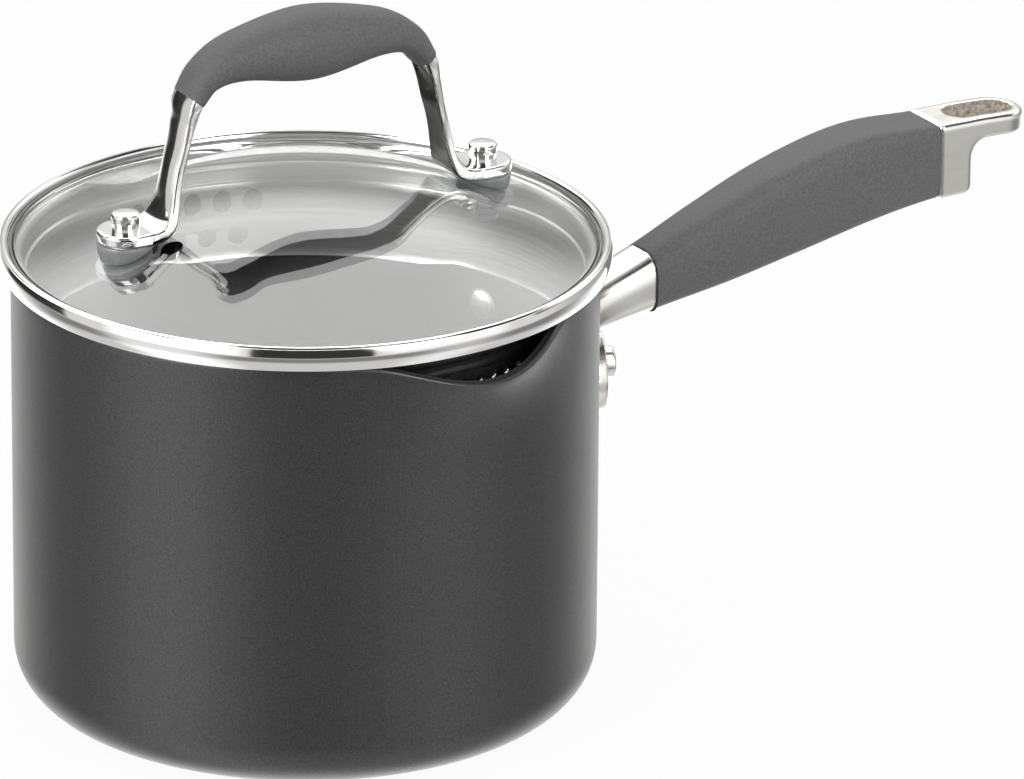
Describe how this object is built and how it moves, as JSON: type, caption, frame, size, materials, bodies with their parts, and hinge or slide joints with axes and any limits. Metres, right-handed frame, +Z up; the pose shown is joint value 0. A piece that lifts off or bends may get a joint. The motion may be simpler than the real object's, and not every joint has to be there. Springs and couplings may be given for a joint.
{
  "type": "saucepan with glass lid",
  "caption": "Round saucepan with pouring lips, a long riveted handle with a hang slot, and a domed glass lid whose perforated skirt strains liquid as it is poured.",
  "frame": {"origin": "centre of the pan's flat base, on the surface it stands on", "axes": "+Z up through the lid; +X along the long handle, away from the pan; the pouring lips face about -Y and +Y"},
  "size_m": [0.3102, 0.169, 0.1918],
  "materials": {
    "anodised_aluminium": "hard anodised, fine metallic speckle",
    "cast_steel": "satin polished casting",
    "polished_steel": "mirror polished",
    "brushed_steel": "brushed round the skirt",
    "lid_glass": "clear tempered glass",
    "handle_rubber": "matte silicone with a fine sandy grain",
    "seal_rubber": "soft matte silicone"
  },
  "bodies": {
    "pan": {"pan_body": "anodised_aluminium", "handle_bracket": "cast_steel", "handle_grip": "handle_rubber", "handle_end_cap": "cast_steel", "handle_rivet_left": "cast_steel", "handle_rivet_right": "cast_steel"},
    "lid_rim": {"lid_rim_hoop": "polished_steel"},
    "lid": {"lid_glass": "lid_glass", "glass_edge_seal": "seal_rubber", "strainer_skirt": "brushed_steel", "lid_handle_strap": "polished_steel", "lid_grip": "handle_rubber", "lid_foot_pad_near": "seal_rubber", "lid_foot_pad_far": "seal_rubber", "lid_rivet_near": "polished_steel", "lid_rivet_far": "polished_steel", "lid_inner_seal_near": "seal_rubber", "lid_inner_seal_far": "seal_rubber", "lid_inner_washer_near": "brushed_steel", "lid_inner_washer_far": "brushed_steel"}
  },
  "joints": [
    {"name": "lid_lift", "type": "slide", "parent": "pan", "child": "lid_rim", "axis": [0, 0, 1], "range_m": [0, 0.12]},
    {"name": "lid_turn", "type": "hinge", "parent": "lid_rim", "child": "lid", "pos_m": [0, 0, 0.1263], "axis": [0, 0, 1], "continuous": true}
  ]
}
